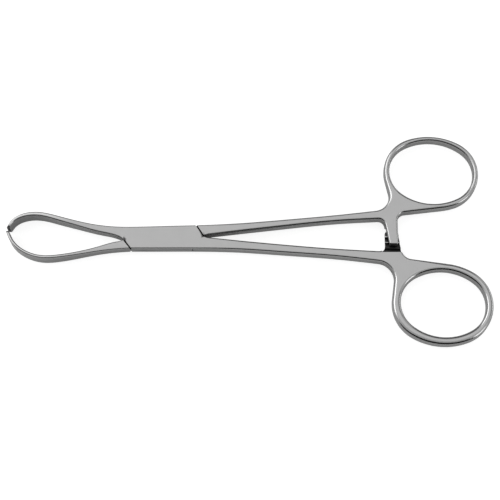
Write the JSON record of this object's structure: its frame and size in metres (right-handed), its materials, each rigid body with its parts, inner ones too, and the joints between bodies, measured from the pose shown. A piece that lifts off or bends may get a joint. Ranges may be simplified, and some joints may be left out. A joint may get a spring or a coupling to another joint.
{
  "type": "towel clamp",
  "caption": "Ring-handled towel clamp with broad curved blunt jaws, a box-lock pivot and a ratchet between the shanks.",
  "frame": {"origin": "on the pivot axis, at the back face of the box lock", "axes": "+X towards the finger rings, +Y towards the ring of the male half, +Z out of the front face, along the pivot pin"},
  "size_m": [0.133, 0.0596, 0.0054],
  "materials": {
    "half_steel": "fine satin stainless steel with polished edges and a darker milled ratchet",
    "pin_steel": "stainless steel pin, ground flush with the box and satin finished with it"
  },
  "bodies": {
    "female": {"female_half": "half_steel", "pivot_pin": "pin_steel"},
    "male": {"male_half": "half_steel"}
  },
  "joints": [
    {"name": "box_lock_hinge", "type": "hinge", "parent": "female", "child": "male", "pos_m": [0, 0, 0.0019], "axis": [0, 0, 1], "range_deg": [-1, 60]}
  ]
}
